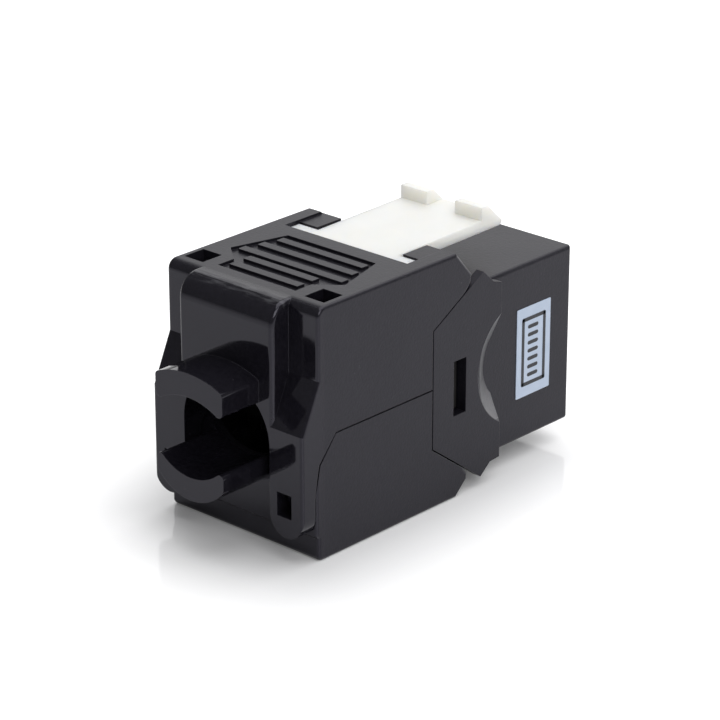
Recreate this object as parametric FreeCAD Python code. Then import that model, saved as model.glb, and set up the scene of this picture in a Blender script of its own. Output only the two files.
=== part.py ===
import FreeCAD, Part
import math
import os

"""Toolless keystone jack: a front housing with an RJ45 socket, and two hinged covers that close over
an insulation-displacement block and clamp the cable at the rear.

Millimetres. X runs across the jack, Y towards the socket, Z up. While it is built, Y = 0 is the
covers' rear face and Z = 0 the surface that the jack stands on. The finished pieces are moved along Y
so that the origin is under the middle of the whole jack.
"""

V = FreeCAD.Vector

# ---- Clearances ----
ear_gap = 0.12            # covers to the edges of the ears
parting_gap = 0.12        # upper cover to lower cover
side_gap = 0.15           # hinge arms to the ear on one side and the core on the other
pocket_gap = 0.3          # hinge arms to the pockets in the housing, over their whole swing
pin_gap = 0.05            # radial, hinge pins in the covers' arms and latch pins in their cheeks
seat_gap = 0.08           # inner pieces in their slots

# ---- Front housing ----
housing_height = 16.4
housing_base = 1.7        # underside of the housing above the surface
housing_rear_y = 19.0
front_top_round = 0.12
top_side_round = 0.35
front_low_round = 0.3
port_width = 11.9
port_height = 6.8
port_depth = 11.2
port_wall = 1.8           # between the circuit board and the end of the socket
port_floor_rise = 4.8     # socket floor above the housing's underside
port_bevel = 0.35
tab_slots = ((6.2, 1.9), (4.0, 3.1))     # width of the plug's tab slot, and its depth below the floor

# ---- Ears ----
ear_thickness = 1.1
ear_rear_y = 14.1
ear_lap = 2.0             # of the covers, under the ears' rear edges
ear_front_y = 22.85
ear_peak_y = 20.4
ear_peak_z = 19.6
ear_shoulder_z = 16.0
ear_notch = (21.8, 18.3)
ear_foot_z = 0.7
ear_hip_z = 5.3
ear_low_notch = (21.6, 1.7)
ear_slot_y = 16.7
ear_slot_width = 1.6
ear_slot_low = 7.5
ear_slot_height = 5.0
scoop_y = 25.6
scoop_z = 10.1
scoop_radius = 5.75
scoop_slope = 1.95        # the scoop's wall narrows by this much over the ear's thickness
ear_recess = 0.3          # relief inside the ears for the hinge arms

# ---- Hinges of the two covers ----
hinge_y = 21.1
upper_hinge_z = 17.0
lower_hinge_z = 3.4
hinge_pin_radius = 0.8
arm_half_height = 1.35
arm_thickness = 0.65
arm_web_y = 6.0

# ---- Covers ----
cover_width = 17.1
cover_height = 22.1
cover_base = -0.2         # underside of the lower cover
cover_wall = 1.0
cover_plate = 1.1         # top plate and bottom plate
rear_wall = 1.2
edge_round = 0.3
rear_top_round = 0.9
parting_z = 10.75
parting_knee_y = 2.1
parting_low_z = 8.45
arm_end_y = 17.0          # front end of the top rails
upper_nose = (19.0, 19.8)
upper_tip = (18.85, 19.0)
lower_flat_end_y = 17.25
lower_nose = (18.6, 1.05)
lower_tip = (18.7, 1.6)
lower_rear_round = 0.5

# ---- Rear of the upper cover ----
panel_step = 1.95         # the raised panel and the tongues stand this far behind the covers
panel_inset = 3.25        # from the covers' sides to the raised panel
panel_shoulder = 2.0
panel_side_round = 0.4
ramp_top_z = 15.8
ramp_low_z = 11.5
tongue_width = 3.65
arch_z = 9.6
tongue_bottom_z = 2.1
tongue_gap = 0.15
tongue_seat = 0.27        # the lower cover's rear face stands this far behind its rear plane
tongue_lean_z = 5.5       # above this height both faces lean forward, round the lower hinge
window_inset = 1.22       # from a tongue's outer side to its window
window_width = 1.63
window_low_z = 3.9
window_height = 2.1
rail_relief = 0.8        # the bar below the window is thinner by this much
catch_reach = 0.8
catch_top_gap = 0.15

# ---- Cable jaws ----
jaw_reach = 4.25
jaw_width = 7.6
upper_jaw_crown = 16.1
upper_jaw_radius = 9.0
upper_jaw_inner_crown = 14.0
upper_jaw_inner_radius = 6.5
upper_jaw_low_z = 13.15   # flat undersides at the sides of the upper jaw
lower_jaw_inner_z = 6.9
lower_jaw_inner_radius = 4.9
lower_jaw_outer_z = 4.85
lower_jaw_outer_radius = 4.85
lower_jaw_top_z = 9.2
jaw_round = 0.4

# ---- Top of the upper cover ----
plate_front_y = 12.5
rail_width = 1.6
notch_front_y = 14.3
throat_gap = 0.28         # latch to the tabs on either side
tab_drop = 0.2
tab_end_y = 17.3
hole_inset = 0.65
hole_width = 2.15
hole_y = 1.4
hole_length = 2.25
grip_depth = 0.25
grip_outline = ((4.4, 1.8), (4.4, 3.7), (6.5, 5.45), (5.0, 10.8))
grip_bar_width = 0.85
grip_bars = ((2.6, 3.85), (4.3, 3.9), (5.7, 5.85), (7.5, 5.35), (9.25, 4.85))

# ---- Insulation-displacement block ----
block_half = 5.9
block_rear_y = 5.5
block_step_y = 12.7
block_core_height = 6.6
block_rib_height = 3.2
block_deck_z = 17.9
block_sole_z = 4.2
rib_rear_y = 6.6
rib_thickness = 1.1
blade_pitch = 2.8
blade_outer_y = 7.4
blade_inner_y = 10.2
blade_width = 1.5
blade_thickness = 0.4
blade_height = 4.6
blade_slot = 0.34
blade_slot_depth = 2.2
blade_mouth = 0.9
tail_size = 0.5
tail_rise = 1.25          # root of a blade above or below the parting height
presser_length = 2.5
presser_width = 1.1
presser_overlap = 0.8     # how far a presser straddles its blade
presser_slot = 1.1

# ---- Circuit board, insert and contact wires ----
board_half = 5.2
board_inset = 0.6         # from the housing's rear edge
board_thickness = 1.0
board_low_z = 4.5
board_high_z = 16.1
wire_pitch = 1.016
wire_width = 0.46
wire_thickness = 0.32
wire_z = 15.0
wire_set_back = 4.2       # bends of the wires, from the front of the housing
wire_bend_radius = 0.6
wire_slope = 27.0
wire_free_length = 6.1
wire_start_inset = 0.2    # from the board's rear face
insert_half = 4.9
insert_rail_half = 5.5
insert_low_z = 13.4
insert_rail_z = 15.4
insert_top_z = 16.3
insert_set_back = 3.2     # from the front of the housing

# ---- Keystone latch ----
latch_width = 9.2
latch_thickness = 1.0
latch_rear_drop = 0.3     # top of the wings below the top plate
latch_front_drop = 0.1
latch_nose = (2.75, 0.6)  # from the lugs' face, and below the leaf's top
latch_nose_cut = (0.25, 0.4)
latch_root_length = 1.05
latch_root_depth = 1.35   # pivot below the top of the root
latch_gap = 0.5           # root to the rear edge of the notch
latch_swing_gap = 0.2     # more room in front, because the wings move forward as the latch is pressed
latch_wing_thickness = 0.5
latch_pin_radius = 0.4
panel_set_back = 8.9      # face of the lugs behind the front of the housing
lug_height = 1.15
lug_flat = 0.9
lug_gap = 3.2
cheek_inner_gap = 0.15
cheek_thickness = 0.95
cheek_radius = 0.75
fixed_lug_width = 9.3
fixed_lug_height = 1.5
fixed_lug_length = 2.4

# ---- Derived ----
cover_half = cover_width / 2
housing_half = cover_half - ear_thickness
housing_top = housing_base + housing_height
board_rear_y = housing_rear_y + board_inset
wire_start_y = board_rear_y + wire_start_inset
board_front_y = board_rear_y + board_thickness
port_rear_y = board_front_y + port_wall
front_y = port_rear_y + port_depth
cover_inner = cover_half - cover_wall
arm_outer = housing_half + ear_recess - side_gap
arm_inner = arm_outer - arm_thickness
core_half = arm_inner - side_gap
panel_y = -panel_step
jaw_tip_y = panel_y - jaw_reach
centre_y = (front_y + jaw_tip_y) / 2
port_floor = housing_base + port_floor_rise
upper_parting = parting_z + parting_gap / 2
lower_parting = parting_z - parting_gap / 2
block_top = parting_z + block_core_height / 2
block_bottom = parting_z - block_core_height / 2
panel_half = cover_half - panel_inset
arch_radius = cover_half - tongue_width
window_x = cover_half - window_inset - window_width
hole_x = cover_half - hole_inset - hole_width
notch_half = cover_half - rail_width
insert_front_y = front_y - insert_set_back
wire_bend_y = front_y - wire_set_back
lug_face_y = front_y - panel_set_back
latch_half = latch_width / 2
throat_half = latch_half + throat_gap
latch_rear_z = cover_height - latch_rear_drop
latch_front_z = cover_height - latch_front_drop
latch_front_y = lug_face_y + latch_nose[0]
latch_pivot_y = plate_front_y + latch_gap + latch_root_length / 2
latch_pivot_z = latch_rear_z - latch_root_depth
cheek_inner = latch_half + cheek_inner_gap
beyond = 5.0              # how far cutting tools run past what they cut


def box(x0, x1, y0, y1, z0, z1):
    return Part.makeBox(x1 - x0, y1 - y0, z1 - z0, V(x0, y0, z0))


def middle_box(half, y0, y1, z0, z1):
    return box(-half, half, y0, y1, z0, z1)


def side_profile(points, x0, x1):
    """A closed outline of (y, z) points, drawn out across the jack."""
    wire = Part.makePolygon([V(x0, y, z) for y, z in points + points[:1]])
    return Part.Face(wire).extrude(V(x1 - x0, 0, 0))


def rod_x(y, z, radius, x0, x1):
    return Part.makeCylinder(radius, x1 - x0, V(x0, y, z), V(1, 0, 0))


def rod_y(x, z, radius, y0, y1):
    return Part.makeCylinder(radius, y1 - y0, V(x, y0, z), V(0, 1, 0))


def both_sides(shape):
    """The shape and its mirror image on the other side of the jack."""
    return shape.fuse(shape.mirror(V(0, 0, 0), V(1, 0, 0)))


def round_edges(shape, radius, wanted):
    """Rounds the edges for which wanted(edge) is true."""
    return shape.makeFillet(radius, [edge for edge in shape.Edges if wanted(edge)])


def runs_along(edge, direction):
    ends = edge.lastVertex().Point - edge.firstVertex().Point
    return ends.Length > 1e-6 and ends.cross(direction).Length < 1e-6 * ends.Length


# ---------------------------------------------------------------- front housing

def ear_outline():
    return [
        (ear_rear_y, ear_hip_z),
        (ear_rear_y, ear_shoulder_z),
        (ear_peak_y, ear_peak_z),
        ear_notch,
        (ear_front_y, housing_top - 0.1),
        (ear_front_y, housing_base + 0.1),
        ear_low_notch,
        (ear_peak_y, ear_foot_z),
    ]


def ear():
    """Right-hand ear with its slot and the dished finger scoop in its front edge."""
    plate = side_profile(ear_outline(), housing_half, cover_half)
    thickness = cover_half - housing_half
    slot = box(housing_half - beyond, cover_half + beyond, ear_slot_y, ear_slot_y + ear_slot_width,
               ear_slot_low, ear_slot_low + ear_slot_height)
    reliefs = [box(housing_half - beyond, housing_half + ear_recess, 0, ear_front_y, low, high)
               for low, high in ((upper_hinge_z - arm_half_height - pocket_gap, cover_height),
                                 (cover_base, lower_hinge_z + arm_half_height + pocket_gap))]
    scoop = Part.makeCone(scoop_radius - scoop_slope, scoop_radius, thickness,
                          V(housing_half, scoop_y, scoop_z), V(1, 0, 0))
    return plate.cut([slot, scoop] + reliefs)


def ear_clearance():
    """What the covers leave free round the right-hand ear."""
    wire = Part.makePolygon([V(0, y, z) for y, z in ear_outline() + ear_outline()[:1]])
    grown = Part.Face(wire).makeOffset2D(ear_gap, 2)
    inner = housing_half - side_gap
    grown.translate(V(inner, 0, 0))
    return grown.extrude(V(cover_half + beyond - inner, 0, 0))


def hinge_pockets():
    """Open slots beside the core in which the covers' arms swing."""
    front = hinge_y + arm_half_height + pocket_gap
    rise = arm_half_height + pocket_gap
    upper = box(core_half, housing_half, housing_rear_y - beyond, front,
                upper_hinge_z - rise, housing_top + beyond)
    lower = box(core_half, housing_half, housing_rear_y - beyond, front,
                housing_base - beyond, lower_hinge_z + rise)
    return both_sides(upper.fuse(lower))


def hinge_pins():
    root = (housing_half + cover_half) / 2
    pins = [rod_x(hinge_y, z, hinge_pin_radius, arm_inner, root) for z in (upper_hinge_z, lower_hinge_z)]
    return both_sides(pins[0].fuse(pins[1]))


def bevel(half, low, high):
    """Flared cut that bevels the mouth of an opening in the front face."""
    grow = 2 * port_bevel
    return Part.makeWedge(-half, front_y - port_bevel, low, low - grow, -half - grow,
                          half, front_y + port_bevel, high, high + grow, half + grow)


def socket():
    """The RJ45 opening: the plug's cavity and the stepped slot for its tab."""
    cavity = middle_box(port_width / 2, port_rear_y, front_y + beyond, port_floor, port_floor + port_height)
    for width, drop in tab_slots:
        cavity = cavity.fuse(middle_box(width / 2, port_rear_y, front_y + beyond,
                                        port_floor - drop, port_floor + 1.0))
    cavity = cavity.removeSplitter().fuse(bevel(port_width / 2, port_floor, port_floor + port_height))
    for width, drop in tab_slots:
        cavity = cavity.fuse(bevel(width / 2, port_floor - drop, port_floor))
    return cavity


def insert_chamber():
    """T-shaped way in which the contact insert slides from the board's pocket to the socket."""
    front = insert_front_y + seat_gap
    stem = middle_box(insert_half + seat_gap, housing_rear_y, front,
                      port_floor + port_height - 1.0, insert_top_z + seat_gap)
    stem = stem.cut(box(-beyond * 2, beyond * 2, housing_rear_y, port_rear_y, 0, insert_low_z - seat_gap))
    rails = middle_box(insert_rail_half + seat_gap, housing_rear_y, front,
                       insert_rail_z - seat_gap, insert_top_z + seat_gap)
    return stem.fuse(rails)


def fixed_lug():
    """The keystone's fixed lug under the housing."""
    low = housing_base - fixed_lug_height
    outline = [
        (lug_face_y, housing_base + 0.5),
        (lug_face_y, low),
        (lug_face_y + fixed_lug_length / 2, low),
        (lug_face_y + fixed_lug_length, housing_base),
        (lug_face_y + fixed_lug_length, housing_base + 0.5),
    ]
    return side_profile(outline, -fixed_lug_width / 2, fixed_lug_width / 2)


def front_housing():
    across = V(1, 0, 0)
    block = middle_box(housing_half, housing_rear_y, front_y, housing_base, housing_top)
    for z, radius in ((housing_top, front_top_round), (housing_base, front_low_round)):
        block = round_edges(block, radius, lambda edge: runs_along(edge, across)
                            and abs(edge.CenterOfMass.y - front_y) < 0.01
                            and abs(edge.CenterOfMass.z - z) < 0.01)
    block = round_edges(block, top_side_round, lambda edge: runs_along(edge, V(0, 1, 0))
                        and abs(edge.CenterOfMass.z - housing_top) < 0.01)
    body = block.cut(hinge_pockets()).fuse(both_sides(ear())).fuse(hinge_pins()).fuse(fixed_lug())
    body = body.cut(socket())
    board_pocket = middle_box(board_half + seat_gap, housing_rear_y - 1, board_front_y + seat_gap,
                              board_low_z - seat_gap, board_high_z + seat_gap)
    return body.cut(board_pocket).cut(insert_chamber()).removeSplitter()


# ---------------------------------------------------------------- covers

def lean(rise, reach):
    """Y at a height above the lower hinge, on an arc round that hinge."""
    return hinge_y - math.sqrt((hinge_y + reach) ** 2 - rise ** 2)


def rear_arc(extra, top_z):
    """Points up the leaning part of the lower cover's rear face, or of the tongues with extra."""
    reach = math.hypot(hinge_y + tongue_seat, tongue_lean_z - lower_hinge_z) - hinge_y + extra
    heights = [tongue_lean_z + (top_z - tongue_lean_z) * step / 4 for step in range(5)]
    return [(lean(z - lower_hinge_z, reach), z) for z in heights]


def upper_outline():
    """Side outline of the upper cover, from the tongue's foot round to the parting line."""
    inner = rear_arc(tongue_gap, parting_low_z + parting_gap / 2)
    return [
        (inner[0][0], tongue_bottom_z),
        (panel_y, tongue_bottom_z),
        (panel_y, ramp_low_z),
        (0, ramp_top_z),
        (0, cover_height),
        (arm_end_y, cover_height),
        upper_nose,
        upper_tip,
        (ear_rear_y + ear_lap, ear_shoulder_z),
        (ear_rear_y + ear_lap, upper_parting),
        (parting_knee_y, upper_parting),
    ] + inner[::-1]


def lower_outline():
    return [
        (0, cover_base),
        (0, tongue_bottom_z - lower_rear_round / 2),
        (-tongue_seat, tongue_bottom_z),
    ] + rear_arc(0, parting_low_z - parting_gap / 2) + [
        (parting_knee_y, lower_parting),
        (ear_rear_y + ear_lap, lower_parting),
        (ear_rear_y + ear_lap, ear_hip_z),
        lower_tip,
        lower_nose,
        (lower_flat_end_y, cover_base),
    ]


def blade_places():
    """(x, y) of the four blades in a row: the outer two stand further back."""
    return [(-1.5 * blade_pitch, blade_outer_y), (-0.5 * blade_pitch, blade_inner_y),
            (0.5 * blade_pitch, blade_inner_y), (1.5 * blade_pitch, blade_outer_y)]


def blade_tip(sign):
    return parting_z + sign * (tail_rise + blade_height)


def pressers(sign, plate_z):
    """Posts inside a cover that push the wires onto the blades; sign is +1 above, -1 below."""
    tip = blade_tip(sign)
    end = tip - sign * presser_overlap
    clear = tip + sign * 0.3
    posts = None
    for x, y in blade_places():
        low, high = sorted((end, plate_z))
        post = box(x - presser_width / 2, x + presser_width / 2,
                   y - presser_length / 2, y + presser_length / 2, low, high)
        low, high = sorted((end - sign, clear))
        post = post.cut(box(x - presser_width, x + presser_width,
                            y - presser_slot / 2, y + presser_slot / 2, low, high))
        posts = post if posts is None else posts.fuse(post)
    return posts


def hinge_arms(hinge_z, plate_z):
    """The two arms of a cover, each webbed to its plate and bored for the pin."""
    low, high = hinge_z - arm_half_height, hinge_z + arm_half_height
    web_low, web_high = min(low, plate_z), max(high, plate_z)
    root = box(arm_inner, cover_inner + 0.2, arm_web_y, ear_rear_y - ear_gap, web_low, web_high)
    web = box(arm_inner, arm_outer, ear_rear_y - ear_gap - 0.5, arm_end_y, web_low, web_high)
    arm = box(arm_inner, arm_outer, arm_end_y - 1.0, hinge_y, low, high)
    arm = arm.fuse(rod_x(hinge_y, hinge_z, arm_half_height, arm_inner, arm_outer))
    bore = rod_x(hinge_y, hinge_z, hinge_pin_radius + pin_gap, arm_inner - 1, arm_outer + 1)
    return both_sides(root.fuse(web).fuse(arm).cut(bore).removeSplitter())


def rear_panel():
    """Raised middle of the upper cover's rear, with a rounded shoulder at the top."""
    panel = middle_box(panel_half, panel_y, rear_top_round, ramp_low_z - 0.3, cover_height)
    panel = round_edges(panel, panel_shoulder, lambda edge: runs_along(edge, V(1, 0, 0))
                        and abs(edge.CenterOfMass.y - panel_y) < 0.01
                        and abs(edge.CenterOfMass.z - cover_height) < 0.01)
    return round_edges(panel, panel_side_round, lambda edge: runs_along(edge, V(0, 0, 1))
                       and abs(edge.CenterOfMass.y - panel_y) < 0.01)


def tongue_ends():
    """Rounds the feet of the tongues: what lies outside a half circle is taken away."""
    inner = arch_radius
    radius = (cover_half - inner) / 2
    centre_z = tongue_bottom_z + radius
    foot = box(inner - 0.5, cover_half + 0.5, panel_y - 1, 0, tongue_bottom_z - 1, centre_z)
    return both_sides(foot.cut(rod_y(inner + radius, centre_z, radius, panel_y - 2, 1)))


def upper_jaw():
    bar = middle_box(jaw_width / 2, jaw_tip_y, panel_y + rear_wall,
                     upper_jaw_low_z, upper_jaw_crown)
    bar = bar.common(rod_y(0, upper_jaw_crown - upper_jaw_radius, upper_jaw_radius,
                           jaw_tip_y - 1, beyond))
    bar = bar.cut(rod_y(0, upper_jaw_inner_crown - upper_jaw_inner_radius, upper_jaw_inner_radius,
                        jaw_tip_y - 1, beyond))
    return round_jaw(bar)


def lower_jaw():
    outer_z = lower_jaw_outer_z + lower_jaw_outer_radius
    inner_z = lower_jaw_inner_z + lower_jaw_inner_radius
    bar = middle_box(jaw_width / 2, jaw_tip_y, rear_wall / 2, lower_jaw_outer_z, lower_jaw_top_z)
    lower_half = rod_y(0, outer_z, lower_jaw_outer_radius, jaw_tip_y - 1, beyond)
    above = middle_box(jaw_width, jaw_tip_y - 1, beyond, outer_z, outer_z + beyond)
    bar = bar.common(lower_half.fuse(above))
    bar = bar.cut(rod_y(0, inner_z, lower_jaw_inner_radius, jaw_tip_y - 1, beyond))
    return round_jaw(bar)


def round_jaw(bar):
    return round_edges(bar, jaw_round, lambda edge: runs_along(edge, V(0, 1, 0))
                       and abs(abs(edge.CenterOfMass.x) - jaw_width / 2) < 0.3)


def grip():
    """The recess in the top plate, less the raised bars that stand in it."""
    right = [V(x, y, 0) for x, y in grip_outline]
    left = [V(-x, y, 0) for x, y in reversed(grip_outline)]
    outline = Part.makePolygon(right + left + right[:1])
    recess = Part.Face(outline).extrude(V(0, 0, grip_depth + 1))
    recess.translate(V(0, 0, cover_height - grip_depth))
    for y, half in grip_bars:
        recess = recess.cut(middle_box(half, y, y + grip_bar_width, 0, cover_height + beyond))
    return recess


def top_cutout():
    """U-shaped throat in the top plate through which the latch comes out."""
    high = cover_height + beyond
    low = cover_height - cover_plate - beyond / 2
    notch = middle_box(notch_half, plate_front_y, notch_front_y, low, high)
    throat = middle_box(throat_half, notch_front_y - 1, front_y, low, high)
    front = middle_box(notch_half, tab_end_y, front_y, low, high)
    tabs = middle_box(notch_half, notch_front_y - 1, front_y, cover_height - tab_drop, high)
    return notch.fuse(throat).fuse(front).fuse(tabs)


def tab_ends():
    """Ends of the tabs beside the latch, which reach past the rails."""
    return both_sides(box(throat_half, notch_half + 0.2, notch_front_y, tab_end_y,
                          cover_height - cover_plate, cover_height - tab_drop))


def lies_in_side(edge):
    bounds = edge.BoundBox
    return abs(abs(bounds.XMin) - cover_half) < 0.01 and abs(bounds.XMin - bounds.XMax) < 0.01


def upper_side_edges(edge):
    """True for the edges of the upper cover's flat sides, except along the parting line."""
    centre = edge.CenterOfMass
    return lies_in_side(edge) and (centre.z > ear_shoulder_z + 1 or centre.y < panel_y / 2 + 0.2)


def lower_side_edges(edge):
    """True for the edges of the lower cover's flat sides, except along the parting line."""
    return lies_in_side(edge) and edge.CenterOfMass.z < tongue_lean_z


def upper_cover():
    inner_top = cover_height - cover_plate
    shell = side_profile(upper_outline(), -cover_half, cover_half)
    shell = round_edges(shell, rear_top_round, lambda edge: runs_along(edge, V(1, 0, 0))
                        and abs(edge.CenterOfMass.y) < 0.01
                        and abs(edge.CenterOfMass.z - cover_height) < 0.01)
    shell = round_edges(shell, edge_round, upper_side_edges).fuse(rear_panel())
    shell = shell.cut(middle_box(cover_inner, rear_wall, front_y, 0, inner_top))
    shell = shell.cut(middle_box(panel_half - rear_wall, panel_y + rear_wall, beyond, 0,
                                 cover_height - panel_shoulder - 0.2))
    shell = shell.cut(rod_y(0, arch_z, arch_radius, -beyond, rear_wall + 1))
    shell = shell.cut(middle_box(arch_radius, -beyond, beyond, 0, arch_z))
    shell = shell.cut(both_sides(ear_clearance()))
    shell = shell.cut(tongue_ends())
    shell = shell.cut(top_cutout()).fuse(tab_ends())
    window = box(window_x, window_x + window_width, -beyond, 0, window_low_z, window_low_z + window_height)
    rail = box(window_x, window_x + window_width, -tongue_seat - tongue_gap - rail_relief, 0,
               0, window_low_z + 0.05)
    shell = shell.cut(both_sides(window.fuse(rail)))
    hole = box(hole_x, hole_x + hole_width, hole_y, hole_y + hole_length, inner_top - 0.5, cover_height + 1)
    shell = shell.cut(both_sides(hole)).cut(grip())
    shell = shell.fuse(hinge_arms(upper_hinge_z, inner_top))
    shell = shell.fuse(pressers(1, inner_top)).fuse(upper_jaw())
    return shell.removeSplitter()


def catch_nubs():
    """Nubs on the lower cover's rear face that stand in the tongues' windows."""
    top = window_low_z + window_height - catch_top_gap
    outline = [
        (0.1, window_low_z + 0.2),
        (-tongue_seat, window_low_z + 0.2),
        (-tongue_seat - tongue_gap, window_low_z + 0.35),
        (-catch_reach, window_low_z + 1.15),
        (-catch_reach, top),
        (0.1, top),
    ]
    gap = catch_top_gap
    return both_sides(side_profile(outline, window_x + gap, window_x + window_width - gap))


def lower_cover():
    shell = side_profile(lower_outline(), -cover_half, cover_half)
    shell = round_edges(shell, lower_rear_round, lambda edge: runs_along(edge, V(1, 0, 0))
                        and abs(edge.CenterOfMass.y) < 0.01
                        and abs(edge.CenterOfMass.z - cover_base) < 0.01)
    shell = round_edges(shell, edge_round, lower_side_edges)
    floor_z = cover_base + cover_plate
    shell = shell.cut(middle_box(cover_inner, rear_wall, front_y, floor_z, parting_z + 1))
    shell = shell.cut(both_sides(ear_clearance()))
    inner_z = lower_jaw_inner_z + lower_jaw_inner_radius
    shell = shell.cut(rod_y(0, inner_z, lower_jaw_inner_radius, -1, beyond))
    shell = shell.fuse(hinge_arms(lower_hinge_z, floor_z))
    shell = shell.fuse(pressers(-1, floor_z)).fuse(lower_jaw()).fuse(catch_nubs())
    return shell.removeSplitter()


# ---------------------------------------------------------------- insulation-displacement block

def tail_z(sign):
    """Middle height of the tails of a row of blades."""
    return parting_z + sign * (tail_rise + tail_size / 2)


def idc_blade(x, y, sign):
    """A slotted fork with a square tail that runs forward to the board."""
    half, slot, mouth = blade_width / 2, blade_slot / 2, blade_mouth / 2
    lead = mouth - slot
    outline = [
        (-half, 0), (half, 0), (half, blade_height), (mouth, blade_height),
        (slot, blade_height - lead), (slot, blade_height - blade_slot_depth),
        (-slot, blade_height - blade_slot_depth), (-slot, blade_height - lead),
        (-mouth, blade_height), (-half, blade_height),
    ]
    root_z = parting_z + sign * tail_rise
    points = [V(x + u, y - blade_thickness / 2, root_z + sign * w) for u, w in outline]
    fork = Part.Face(Part.makePolygon(points + points[:1])).extrude(V(0, blade_thickness, 0))
    middle = tail_z(sign)
    tail = box(x - tail_size / 2, x + tail_size / 2, y, board_front_y - 0.2,
               middle - tail_size / 2, middle + tail_size / 2)
    return fork.fuse(tail).removeSplitter()


def blade_slots():
    """Pockets and tail channels for all eight blades."""
    slots = None
    for sign in (1, -1):
        middle = tail_z(sign)
        root_z = parting_z + sign * (tail_rise - seat_gap)
        low, high = sorted((root_z, parting_z + sign * (block_core_height + block_rib_height)))
        for x, y in blade_places():
            half = blade_width / 2 + seat_gap
            deep = blade_thickness / 2 + seat_gap
            reach = tail_size / 2 + seat_gap
            pocket = box(x - half, x + half, y - deep, y + deep, low, high)
            channel = box(x - reach, x + reach, y, housing_rear_y + 1, middle - reach, middle + reach)
            both = pocket.fuse(channel)
            slots = both if slots is None else slots.fuse(both)
    return slots


def block_ribs(sign):
    """Walls that part the wires on one side of the block."""
    low, high = sorted((parting_z + sign * (block_core_height / 2 - 0.5),
                        parting_z + sign * (block_core_height / 2 + block_rib_height)))
    ribs = middle_box(rib_thickness / 2, rib_rear_y, block_step_y, low, high)
    for x0, x1 in ((blade_pitch - rib_thickness / 2, blade_pitch + rib_thickness / 2),
                   (2 * blade_pitch - rib_thickness / 2, block_half)):
        ribs = ribs.fuse(both_sides(box(x0, x1, rib_rear_y, block_step_y, low, high)))
    return ribs


def latch_cheeks():
    """Two bored cheeks on the block's deck that carry the latch's pins."""
    outer = cheek_inner + cheek_thickness
    cheek = box(cheek_inner, outer, latch_pivot_y - cheek_radius, latch_pivot_y + cheek_radius,
                block_deck_z - 0.5, latch_pivot_z)
    cheek = cheek.fuse(rod_x(latch_pivot_y, latch_pivot_z, cheek_radius, cheek_inner, outer))
    bore = rod_x(latch_pivot_y, latch_pivot_z, latch_pin_radius + pin_gap, cheek_inner - 1, outer + 1)
    return both_sides(cheek.cut(bore))


def idc_block():
    core = middle_box(block_half, block_rear_y, block_step_y + 0.5, block_bottom, block_top)
    deck = middle_box(block_half, block_step_y, housing_rear_y, block_sole_z, block_deck_z)
    snap_gap = 0.1
    snap = box(block_half - 0.5, housing_half + snap_gap, ear_slot_y + snap_gap,
               ear_slot_y + ear_slot_width - snap_gap, ear_slot_low + snap_gap,
               ear_slot_low + ear_slot_height - snap_gap)
    block = core.fuse(deck).fuse(block_ribs(1)).fuse(block_ribs(-1)).fuse(both_sides(snap))
    return block.fuse(latch_cheeks()).cut(blade_slots()).removeSplitter()


# ---------------------------------------------------------------- board, insert and contact wires

def wire_places():
    return [(number - 3.5) * wire_pitch for number in range(8)]


def circuit_board():
    board = middle_box(board_half, board_rear_y, board_front_y, board_low_z, board_high_z)
    for x in wire_places():
        radius = math.hypot(wire_width, wire_thickness) / 2 + seat_gap / 2
        board = board.cut(rod_y(x, wire_z, radius, board_rear_y - 1, board_front_y + 1))
    for sign in (1, -1):
        for x, _ in blade_places():
            radius = tail_size / math.sqrt(2) + seat_gap / 2
            board = board.cut(rod_y(x, tail_z(sign), radius, board_rear_y - 1, board_front_y + 1))
    return board


def contact_insert():
    """Comb that carries the contact wires in grooves open to the socket."""
    rear = board_front_y + seat_gap
    stem = middle_box(insert_half, rear, insert_front_y, insert_low_z, insert_top_z)
    body = stem.fuse(middle_box(insert_rail_half, rear, insert_front_y, insert_rail_z, insert_top_z))
    reach = wire_width / 2 + seat_gap
    for x in wire_places():
        body = body.cut(box(x - reach, x + reach, rear - 1, insert_front_y + 1,
                            insert_low_z - 1, wire_z + wire_thickness / 2 + seat_gap))
    return body.removeSplitter()


def contact_wire(x):
    """A stamped contact: forward from the board, over a bend, and back down into the socket."""
    slope = math.radians(wire_slope)
    start = V(x, wire_start_y, wire_z)
    bend_start = V(x, wire_bend_y, wire_z)
    centre = V(x, wire_bend_y, wire_z - wire_bend_radius)
    front = centre + V(0, wire_bend_radius, 0)
    bend_end = centre + V(0, math.sin(slope), -math.cos(slope)) * wire_bend_radius
    end = bend_end + V(0, -math.cos(slope), -math.sin(slope)) * wire_free_length
    path = Part.Wire([Part.LineSegment(start, bend_start).toShape(),
                      Part.Arc(bend_start, front, bend_end).toShape(),
                      Part.LineSegment(bend_end, end).toShape()])
    across = V(wire_width / 2, 0, 0)
    up = V(0, 0, wire_thickness / 2)
    corners = [start - across - up, start + across - up, start + across + up, start - across + up]
    section = Part.makePolygon(corners + corners[:1])
    return path.makePipeShell([section], True, False)


# ---------------------------------------------------------------- latch

def latch_lugs():
    """Two hooks that snap behind the edge of the panel."""
    root = latch_front_z - latch_nose[1]
    outline = [
        (lug_face_y, root),
        (lug_face_y, latch_front_z + lug_height),
        (lug_face_y + lug_flat, latch_front_z + lug_height),
        (latch_front_y, root),
    ]
    return both_sides(side_profile(outline, lug_gap / 2, latch_half))


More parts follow.
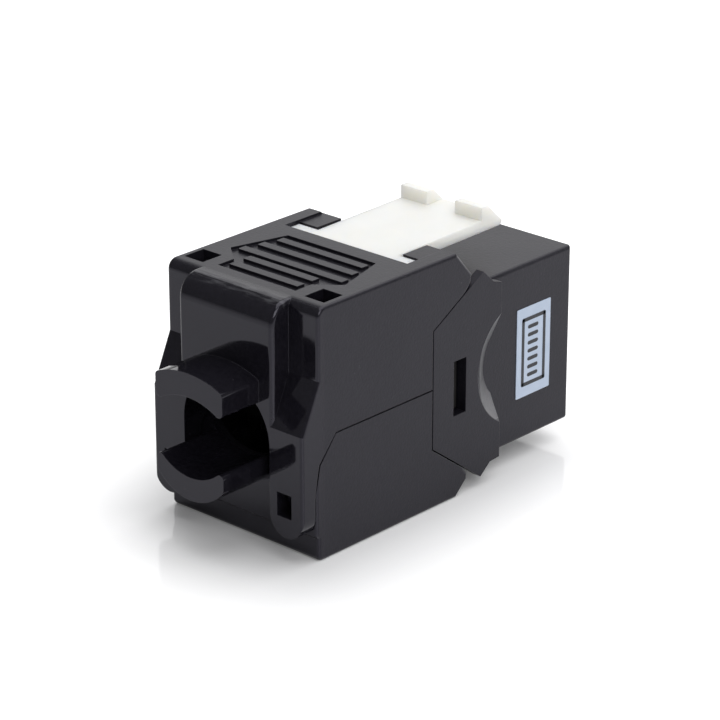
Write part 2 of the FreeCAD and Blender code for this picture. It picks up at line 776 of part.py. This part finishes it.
def keystone_latch():
    root_rear = latch_pivot_y - latch_root_length / 2
    root_front = latch_pivot_y + latch_root_length / 2
    ramp = latch_nose[0] - lug_flat
    leaf = side_profile([
        (root_rear, latch_rear_z),
        (root_front, latch_rear_z),
        (latch_front_y - ramp * latch_nose[1] / (lug_height + latch_nose[1]), latch_front_z),
        (latch_front_y, latch_front_z - latch_nose[1]),
        (latch_front_y - latch_nose_cut[0], latch_front_z - latch_nose[1] - latch_nose_cut[1]),
        (root_front, latch_rear_z - latch_thickness),
        (root_rear, latch_rear_z - latch_thickness),
    ], -latch_half, latch_half)
    root = middle_box(latch_half, root_rear, root_front, latch_pivot_z, latch_rear_z - 0.2)
    boss = rod_x(latch_pivot_y, latch_pivot_z, latch_root_length / 2, -latch_half, latch_half)
    wings = middle_box(arm_inner - side_gap, root_rear, notch_front_y - latch_swing_gap,
                       latch_rear_z - latch_wing_thickness, latch_rear_z)
    reach = cheek_inner + cheek_thickness
    pins = rod_x(latch_pivot_y, latch_pivot_z, latch_pin_radius, -reach, reach)
    latch = leaf.fuse(root).fuse(boss).fuse(wings).fuse(latch_lugs()).removeSplitter()
    corner_z = latch_rear_z - latch_thickness
    latch = round_edges(latch, latch_root_length / 2, lambda edge: runs_along(edge, V(1, 0, 0))
                        and abs(edge.CenterOfMass.y - root_front) < 0.01
                        and abs(edge.CenterOfMass.z - corner_z) < 0.01)
    return latch.fuse(pins)


# ---------------------------------------------------------------- assembly

def nodes():
    """Every piece of the jack, by the name of its node."""
    pieces = {
        "front_housing": front_housing(),
        "upper_cover": upper_cover(),
        "lower_cover": lower_cover(),
        "keystone_latch": keystone_latch(),
        "idc_block": idc_block(),
        "circuit_board": circuit_board(),
        "contact_insert": contact_insert(),
    }
    number = 0
    for sign in (1, -1):
        for x, y in blade_places():
            number += 1
            pieces["idc_blade_%d" % number] = idc_blade(x, y, sign)
    for number, x in enumerate(wire_places(), 1):
        pieces["contact_wire_%d" % number] = contact_wire(x)
    return pieces


os.makedirs("parts", exist_ok=True)
for name, shape in nodes().items():
    shape.translate(V(0, -centre_y, -cover_base))
    shape.exportStep("parts/%s.step" % name)
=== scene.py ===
"""A toolless keystone jack on a white studio floor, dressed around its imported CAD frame."""

import math

import bmesh
import bpy
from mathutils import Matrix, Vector


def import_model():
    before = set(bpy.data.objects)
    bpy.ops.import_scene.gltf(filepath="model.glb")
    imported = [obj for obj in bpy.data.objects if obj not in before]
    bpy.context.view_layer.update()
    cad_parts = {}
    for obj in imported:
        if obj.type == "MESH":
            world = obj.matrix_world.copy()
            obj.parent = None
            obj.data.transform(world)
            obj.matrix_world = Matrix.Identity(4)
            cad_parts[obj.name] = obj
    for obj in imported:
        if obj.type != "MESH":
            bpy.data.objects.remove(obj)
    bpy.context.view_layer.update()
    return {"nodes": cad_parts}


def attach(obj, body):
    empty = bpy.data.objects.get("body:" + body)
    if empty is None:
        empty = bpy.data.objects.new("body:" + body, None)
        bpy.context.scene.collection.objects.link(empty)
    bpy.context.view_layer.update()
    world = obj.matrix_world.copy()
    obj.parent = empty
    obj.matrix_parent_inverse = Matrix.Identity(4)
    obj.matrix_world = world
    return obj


MM = 0.001

# ---- Camera, in millimetres in the jack's own frame ----
CAMERA_AT = Vector((169.95, -185.68, 114.97))
CAMERA_AIM = Vector((-2.10, 2.95, 9.95))
CAMERA_LENS = 159.59
SENSOR_WIDTH = 36.0

# ---- Lamps: name, place and aim in millimetres, size in millimetres, power in watts ----
LAMPS = (
    ("key_above", (30, 70, 330), (0, 0, 10), (420, 420), 1.10),
    ("back_wall", (-200, 260, 150), (0, 0, 8), (400, 260), 0.29),
    ("far_right", (70, 330, 60), (0, 0, 8), (160, 120), 0.16),
    ("fill_right", (250, -130, 190), (0, 0, 10), (200, 200), 0.40),
)
WORLD_LIGHT = 0.20

# ---- Floor ----
FLOOR_HALF = 3.0              # metres
FOOTPRINT = (8.5, 15.0)       # half width and half length of the jack where it stands
TABLE_REACH = 300.0           # distance from the footprint at which the lit table is plain white
TABLE_GLOW_AND_SHADOW = ((1.0, 0.06), (12.0, 0.38), (300.0, 1.0))     # as the camera sees it; low near the jack, a painted shadow
MIRROR_GLOW_AND_SHADE = ((2.0, 0.0), (60.0, 0.16), (300.0, 0.16))    # as glossy surfaces mirror it; none near the jack, painted shade in the reflections

# ---- Plastics, in millimetres; corners are (|X|, Y, Z) ----
REAR_FACE_Y = -13.7           # everything behind this plane is polished in the mould
POLISH_FADE = (-0.1, 0.9)     # where the polish gives way to the grain, from that plane
CLOUDS = 6.0                  # size of the slow changes in tone and gloss
MOTTLE = 0.35                 # size of the fine ones
GRAIN = 0.20
EDGE_SOFTNESS = 0.06
SCOOP = ((7.52, 6.8, 5.6), (8.50, 9.9, 15.4))             # the finger scoops, which carry a painted highlight
SCOOP_HIGHLIGHT_Z = (7.5, 10.5)   # the scoops' painted highlight grows over this height
SHOULDER = ((0.0, -14.6, 21.9), (5.2, -13.7, 22.6))       # the lighter-streaked shoulder of the central panel
STREAK_SIZE = 0.35
DUST = 0.30

# ---- Label on the housing's right side, in millimetres; corners are (Y, Z) ----
HOUSING_SIDE_X = 7.45
LABEL_LOW = (12.56, 5.91)
LABEL_HIGH = (17.09, 14.24)
LABEL_THICKNESS = 0.06
MARK_THICKNESS = 0.02
LABEL_CORNER = 0.10


# ---------------------------------------------------------------- materials

def new_material(name):
    made = bpy.data.materials.new(name)
    made.use_nodes = True
    return made, made.node_tree, made.node_tree.nodes["Principled BSDF"]


def add(tree, kind, inputs, **settings):
    """Adds a node. An input is either a value or the socket that feeds it."""
    made = tree.nodes.new(kind)
    for name, value in settings.items():
        setattr(made, name, value)
    for name, value in inputs.items():
        if isinstance(value, bpy.types.NodeSocket):
            tree.links.new(value, made.inputs[name])
        else:
            made.inputs[name].default_value = value
    return made


def place(tree):
    return tree.nodes.new("ShaderNodeTexCoord").outputs["Object"]


def noise(tree, size, detail=3.0, stretch=(1, 1, 1)):
    """Noise with features of about the given size in metres, between 0 and 1."""
    mapped = add(tree, "ShaderNodeMapping", {"Vector": place(tree), "Scale": stretch})
    made = add(tree, "ShaderNodeTexNoise",
               {"Vector": mapped.outputs["Vector"], "Scale": 1.0 / size, "Detail": detail})
    return made.outputs["Fac"]


def arithmetic(tree, operation, first, second=0.0):
    made = add(tree, "ShaderNodeMath", {0: first, 1: second}, operation=operation)
    return made.outputs["Value"]


def remap(tree, value, low, high, to_low, to_high):
    made = add(tree, "ShaderNodeMapRange",
               {"Value": value, "From Min": low, "From Max": high, "To Min": to_low, "To Max": to_high})
    return made.outputs["Result"]


def blend_values(tree, factor, first, second):
    made = add(tree, "ShaderNodeMix", {0: factor, 2: first, 3: second}, data_type="FLOAT")
    return made.outputs[0]


def ramp(tree, value, *stops):
    made = tree.nodes.new("ShaderNodeValToRGB")
    tree.links.new(value, made.inputs["Fac"])
    elements = made.color_ramp.elements
    while len(elements) < len(stops):
        elements.new(0.5)
    for element, (position, colour) in zip(elements, stops):
        element.position = position
        element.color = colour + (1.0,)
    return made.outputs["Color"]


def softened(tree, shader, radius, bump_height, strength, distance):
    """Rounds the sharp edges in the shading and lays a fine grain over them."""
    edges = add(tree, "ShaderNodeBevel", {"Radius": radius}, samples=6)
    bump = add(tree, "ShaderNodeBump",
               {"Height": bump_height, "Strength": strength, "Distance": distance,
                "Normal": edges.outputs["Normal"]})
    tree.links.new(bump.outputs["Normal"], shader.inputs["Normal"])


def coordinates(tree):
    """The place on the jack as (|X|, Y, Z) in metres."""
    along = add(tree, "ShaderNodeSeparateXYZ", {"Vector": place(tree)}).outputs
    return arithmetic(tree, "ABSOLUTE", along["X"]), along["Y"], along["Z"]


def within(tree, corners, soft):
    """1 inside the box between two corners, falling to 0 outside it."""
    inside = 1.0
    for value, start, end in zip(coordinates(tree), *corners):
        rise = remap(tree, value, (start - soft) * MM, start * MM, 0.0, 1.0)
        fall = remap(tree, value, end * MM, (end + soft) * MM, 1.0, 0.0)
        both = arithmetic(tree, "MULTIPLY", rise, fall)
        inside = arithmetic(tree, "MULTIPLY", inside, both)
    return inside


def tinted(tree, colour, amount, tint):
    made = add(tree, "ShaderNodeMix", {0: amount, 6: colour, 7: tint + (1.0,)}, data_type="RGBA")
    return made.outputs[2]


def scoop_painted_highlight(tree):
    """Painted highlight on the scoops: paler towards their outer rim and their upper part."""
    across, _, height = coordinates(tree)
    low, high = SCOOP
    rim = remap(tree, across, low[0] * MM, high[0] * MM, 0.25, 1.0)
    rise = remap(tree, height, SCOOP_HIGHLIGHT_Z[0] * MM, SCOOP_HIGHLIGHT_Z[1] * MM, 0.45, 1.0)
    inside = arithmetic(tree, "MULTIPLY", within(tree, SCOOP, 0.02), rim)
    return arithmetic(tree, "MULTIPLY", inside, rise)


def streaks_and_dust(tree):
    """Streaks along X on the panel's shoulder, and sparse specks everywhere."""
    streaks = remap(tree, noise(tree, STREAK_SIZE * MM, 6.0, (0.2, 1, 1)), 0.46, 0.66, 0.0, 0.8)
    streaked = arithmetic(tree, "MULTIPLY", within(tree, SHOULDER, 0.3), streaks)
    dust = remap(tree, noise(tree, DUST * MM, 1.0), 0.80, 0.84, 0.0, 0.6)
    return arithmetic(tree, "MAXIMUM", streaked, dust)


def black_plastic():
    """Moulded ABS: fine satin grain on the outside, polished behind the rear plane."""
    made, tree, shader = new_material("black_abs")
    _, along_y, _ = coordinates(tree)
    satin = remap(tree, along_y, (REAR_FACE_Y + POLISH_FADE[0]) * MM,
                  (REAR_FACE_Y + POLISH_FADE[1]) * MM, 0.0, 1.0)
    clouds = blend_values(tree, 0.5, noise(tree, CLOUDS * MM, 4.0), noise(tree, MOTTLE * MM, 3.0))
    rough_satin = remap(tree, clouds, 0.3, 0.7, 0.35, 0.42)
    rough_gloss = remap(tree, clouds, 0.3, 0.7, 0.05, 0.08)
    tree.links.new(blend_values(tree, satin, rough_gloss, rough_satin), shader.inputs["Roughness"])
    colour = ramp(tree, clouds, (0.35, (0.0050, 0.0045, 0.0070)), (0.65, (0.0105, 0.0098, 0.0135)))
    # painted highlight on the finger scoops
    colour = tinted(tree, colour, scoop_painted_highlight(tree), (0.170, 0.170, 0.175))
    # lighter streaks on the central panel's shoulder, and sparse dust specks
    colour = tinted(tree, colour, streaks_and_dust(tree), (0.060, 0.060, 0.066))
    tree.links.new(colour, shader.inputs["Base Color"])
    grain = arithmetic(tree, "MULTIPLY", noise(tree, GRAIN * MM, 2.0), satin)
    softened(tree, shader, EDGE_SOFTNESS * MM, grain, 0.55, 0.025 * MM)
    shader.inputs["IOR"].default_value = 1.45
    shader.inputs["Specular Tint"].default_value = (0.88, 0.86, 1.0, 1.0)
    return made


def block_plastic():
    """Matt black of the inner mouldings."""
    made, tree, shader = new_material("black_pbt")
    clouds = noise(tree, 3 * MM)
    tree.links.new(remap(tree, clouds, 0.3, 0.7, 0.5, 0.62), shader.inputs["Roughness"])
    colour = ramp(tree, clouds, (0.3, (0.012, 0.011, 0.011)), (0.7, (0.018, 0.017, 0.016)))
    tree.links.new(colour, shader.inputs["Base Color"])
    softened(tree, shader, 0.08 * MM, noise(tree, GRAIN * MM), 0.3, 0.02 * MM)
    return made


def white_plastic():
    """Natural white acetal of the latch, a little translucent."""
    made, tree, shader = new_material("white_pom")
    clouds = noise(tree, 5 * MM)
    colour = ramp(tree, clouds, (0.3, (0.83, 0.82, 0.77)), (0.7, (0.87, 0.86, 0.82)))
    tree.links.new(colour, shader.inputs["Base Color"])
    tree.links.new(remap(tree, clouds, 0.3, 0.7, 0.34, 0.42), shader.inputs["Roughness"])
    softened(tree, shader, 0.12 * MM, noise(tree, GRAIN * MM), 0.12, 0.02 * MM)
    shader.inputs["Subsurface Weight"].default_value = 0.8
    shader.inputs["Subsurface Radius"].default_value = (1.0, 0.9, 0.75)
    shader.inputs["Subsurface Scale"].default_value = 2.0 * MM
    return made


def circuit_board():
    """Green solder mask with the weave showing faintly through."""
    made, tree, shader = new_material("solder_mask")
    weave = add(tree, "ShaderNodeTexWave", {"Vector": place(tree), "Scale": 700.0, "Distortion": 0.6},
                bands_direction="Z")
    colour = ramp(tree, weave.outputs["Fac"], (0.0, (0.010, 0.075, 0.030)), (1.0, (0.014, 0.095, 0.040)))
    tree.links.new(colour, shader.inputs["Base Color"])
    tree.links.new(remap(tree, noise(tree, 1 * MM), 0.3, 0.7, 0.25, 0.35), shader.inputs["Roughness"])
    softened(tree, shader, 0.05 * MM, weave.outputs["Fac"], 0.1, 0.02 * MM)
    return made


def metal(name, dark, light, rough):
    """Plated spring metal with drawing lines along it."""
    made, tree, shader = new_material(name)
    lines = noise(tree, 0.05 * MM, 2.0, (1, 0.05, 1))
    tree.links.new(ramp(tree, lines, (0.3, dark), (0.7, light)), shader.inputs["Base Color"])
    tree.links.new(remap(tree, lines, 0.3, 0.7, rough, rough + 0.12), shader.inputs["Roughness"])
    softened(tree, shader, 0.04 * MM, lines, 0.08, 0.01 * MM)
    shader.inputs["Metallic"].default_value = 1.0
    return made


def label_film():
    """Printed film: pale blue, faintly uneven."""
    made, tree, shader = new_material("label_film")
    clouds = noise(tree, 1.2 * MM, 5.0)
    colour = ramp(tree, clouds, (0.3, (0.49, 0.58, 0.72)), (0.7, (0.55, 0.63, 0.77)))
    tree.links.new(colour, shader.inputs["Base Color"])
    tree.links.new(remap(tree, clouds, 0.3, 0.7, 0.38, 0.5), shader.inputs["Roughness"])
    softened(tree, shader, 0.02 * MM, noise(tree, 0.1 * MM), 0.08, 0.01 * MM)
    return made


def label_ink():
    made, tree, shader = new_material("label_ink")
    clouds = noise(tree, 0.4 * MM, 4.0)
    colour = ramp(tree, clouds, (0.3, (0.020, 0.022, 0.028)), (0.7, (0.035, 0.037, 0.045)))
    tree.links.new(colour, shader.inputs["Base Color"])
    tree.links.new(remap(tree, clouds, 0.3, 0.7, 0.4, 0.5), shader.inputs["Roughness"])
    return made


# ---------------------------------------------------------------- label

def rounded_outline(low, high, corner, steps=5):
    """Outline of a rectangle with rounded corners, anticlockwise, as (u, v) points."""
    outline = []
    for u, v, start in ((high[0], high[1], 0), (low[0], high[1], 90), (low[0], low[1], 180),
                        (high[0], low[1], 270)):
        centre_u = u - math.copysign(corner, u - (low[0] + high[0]) / 2)
        centre_v = v - math.copysign(corner, v - (low[1] + high[1]) / 2)
        for step in range(steps + 1):
            angle = math.radians(start + 90 * step / steps)
            outline.append((centre_u + corner * math.cos(angle), centre_v + corner * math.sin(angle)))
    return outline


def film(name, outlines, side_x, thickness):
    """Thin raised shapes on the housing's right side, from closed outlines in (Y, Z) millimetres."""
    mesh = bmesh.new()
    for outline in outlines:
        rings = []
        for x in (side_x, side_x + thickness):
            rings.append([mesh.verts.new(Vector((x, y, z)) * MM) for y, z in outline])
        mesh.faces.new(list(reversed(rings[0])))
        mesh.faces.new(rings[1])
        for k in range(len(outline)):
            after = (k + 1) % len(outline)
            mesh.faces.new((rings[0][k], rings[0][after], rings[1][after], rings[1][k]))
    bmesh.ops.recalc_face_normals(mesh, faces=mesh.faces)
    data = bpy.data.meshes.new(name)
    mesh.to_mesh(data)
    mesh.free()
    made = bpy.data.objects.new(name, data)
    bpy.context.scene.collection.objects.link(made)
    return made


def bar(u0, v0, u1, v1):
    return rounded_outline((u0, v0), (u1, v1), min(u1 - u0, v1 - v0) / 2 - 0.001, 4)


def label_mark():
    """A plain pictogram of a network socket: a frame with a row of contact strokes."""
    middle_y = (LABEL_LOW[0] + LABEL_HIGH[0]) / 2
    middle_z = (LABEL_LOW[1] + LABEL_HIGH[1]) / 2
    stroke = 0.34
    half_y, half_z = 1.60, 3.20
    shapes = [
        bar(middle_y - half_y, middle_z - half_z, middle_y - half_y + stroke, middle_z + half_z),
        bar(middle_y + half_y - stroke, middle_z - half_z, middle_y + half_y, middle_z + half_z),
        bar(middle_y - half_y, middle_z - half_z, middle_y + half_y, middle_z - half_z + stroke),
        bar(middle_y - half_y, middle_z + half_z - stroke, middle_y + half_y, middle_z + half_z),
    ]
    for row in range(7):
        z = middle_z - 2.25 + row * 0.75
        shapes.append(bar(middle_y - 0.80, z - stroke / 2, middle_y + 0.60, z + stroke / 2))
    return shapes


def build_label():
    base = film("label_film", [rounded_outline(LABEL_LOW, LABEL_HIGH, LABEL_CORNER)],
                HOUSING_SIDE_X, LABEL_THICKNESS)
    mark = film("label_mark", label_mark(), HOUSING_SIDE_X + LABEL_THICKNESS, MARK_THICKNESS)
    base.data.materials.append(label_film())
    mark.data.materials.append(label_ink())
    for piece in (base, mark):
        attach(piece, "jack_body")


# ---------------------------------------------------------------- studio

def beyond_footprint(tree):
    """Distance from the rectangle on which the jack stands, as a share of the table's reach."""
    inside = add(tree, "ShaderNodeVectorMath", {0: place(tree)}, operation="ABSOLUTE").outputs["Vector"]
    outside = add(tree, "ShaderNodeVectorMath",
                  {0: inside, 1: (FOOTPRINT[0] * MM, FOOTPRINT[1] * MM, 0)}, operation="SUBTRACT")
    beyond = add(tree, "ShaderNodeVectorMath", {0: outside.outputs["Vector"], 1: (0, 0, 0)},
                 operation="MAXIMUM")
    distance = add(tree, "ShaderNodeVectorMath", {0: beyond.outputs["Vector"]}, operation="LENGTH")
    return arithmetic(tree, "DIVIDE", distance.outputs["Value"], TABLE_REACH * MM)


def glow_seen_by(tree, rays, share, glow):
    level = ramp(tree, share, *((reach / TABLE_REACH, (lift, lift, lift)) for reach, lift in glow))
    return arithmetic(tree, "MULTIPLY", rays, level)


def floor():
    """A lit table whose glow is painted dimmer near the jack, a painted shadow so that its shadow stays,
    and plain white far from it.
    """
    data = bpy.data.meshes.new("floor")
    corners = [(-FLOOR_HALF, -FLOOR_HALF, 0), (FLOOR_HALF, -FLOOR_HALF, 0),
               (FLOOR_HALF, FLOOR_HALF, 0), (-FLOOR_HALF, FLOOR_HALF, 0)]
    data.from_pydata(corners, [], [(0, 1, 2, 3)])
    made = bpy.data.objects.new("floor", data)
    bpy.context.scene.collection.objects.link(made)
    material, tree, shader = new_material("studio_floor")
    shader.inputs["Base Color"].default_value = (0.9, 0.9, 0.91, 1)
    shader.inputs["Roughness"].default_value = 0.09
    rays = tree.nodes.new("ShaderNodeLightPath").outputs
    share = beyond_footprint(tree)
    # the glow falls off near the jack: a painted shadow on the floor, and painted shade in what glossy
    # surfaces mirror
    direct = glow_seen_by(tree, rays["Is Camera Ray"], share, TABLE_GLOW_AND_SHADOW)
    mirrored = glow_seen_by(tree, rays["Is Glossy Ray"], share, MIRROR_GLOW_AND_SHADE)
    tree.links.new(arithmetic(tree, "ADD", direct, mirrored), shader.inputs["Emission Strength"])
    shader.inputs["Emission Color"].default_value = (1, 1, 1, 1)
    data.materials.append(material)


def world():
    made = bpy.data.worlds.new("studio")
    bpy.context.scene.world = made
    made.use_nodes = True
    tree = made.node_tree
    rays = tree.nodes.new("ShaderNodeLightPath").outputs
    seen = arithmetic(tree, "MAXIMUM", rays["Is Camera Ray"], rays["Is Transmission Ray"])
    background = tree.nodes["Background"]
    background.inputs["Color"].default_value = (1, 1, 1, 1)
    tree.links.new(blend_values(tree, seen, WORLD_LIGHT, 1.0), background.inputs["Strength"])


def lamps():
    for name, at, aim, size, power in LAMPS:
        data = bpy.data.lights.new(name, "AREA")
        data.shape = "RECTANGLE"
        data.size = size[0] * MM
        data.size_y = size[1] * MM
        data.energy = power
        lamp = bpy.data.objects.new(name, data)
        bpy.context.scene.collection.objects.link(lamp)
        lamp.location = Vector(at) * MM
        lamp.rotation_mode = "QUATERNION"
        lamp.rotation_quaternion = (Vector(aim) - Vector(at)).to_track_quat("-Z", "Y")


def camera():
    data = bpy.data.cameras.new("camera")
    data.lens = CAMERA_LENS
    data.sensor_width = SENSOR_WIDTH
    data.clip_start = 0.01
    data.clip_end = 20.0
    made = bpy.data.objects.new("camera", data)
    bpy.context.scene.collection.objects.link(made)
    made.location = CAMERA_AT * MM
    made.rotation_mode = "QUATERNION"
    made.rotation_quaternion = (CAMERA_AIM - CAMERA_AT).to_track_quat("-Z", "Y")
    bpy.context.scene.camera = made


# ---------------------------------------------------------------- scene

def dress(frame):
    """Gives every CAD node its finish."""
    abs_black = black_plastic()
    gold = metal("gold_plate", (0.72, 0.50, 0.20), (0.86, 0.63, 0.28), 0.18)
    tin = metal("tin_plate", (0.60, 0.59, 0.57), (0.74, 0.73, 0.70), 0.28)
    finishes = {
        "front_housing": abs_black,
        "upper_cover": abs_black,
        "lower_cover": abs_black,
        "keystone_latch": white_plastic(),
        "circuit_board": circuit_board(),
    }
    inner = block_plastic()
    finishes["idc_block"] = inner
    finishes["contact_insert"] = inner
    for name, piece in frame["nodes"].items():
        if name.startswith("contact_wire"):
            finish = gold
        elif name.startswith("idc_blade"):
            finish = tin
        else:
            finish = finishes[name]
        for material_slot in piece.material_slots:
            material_slot.material = finish


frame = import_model()
dress(frame)
build_label()
floor()
world()
lamps()
camera()
bpy.context.scene.view_settings.view_transform = "Standard"
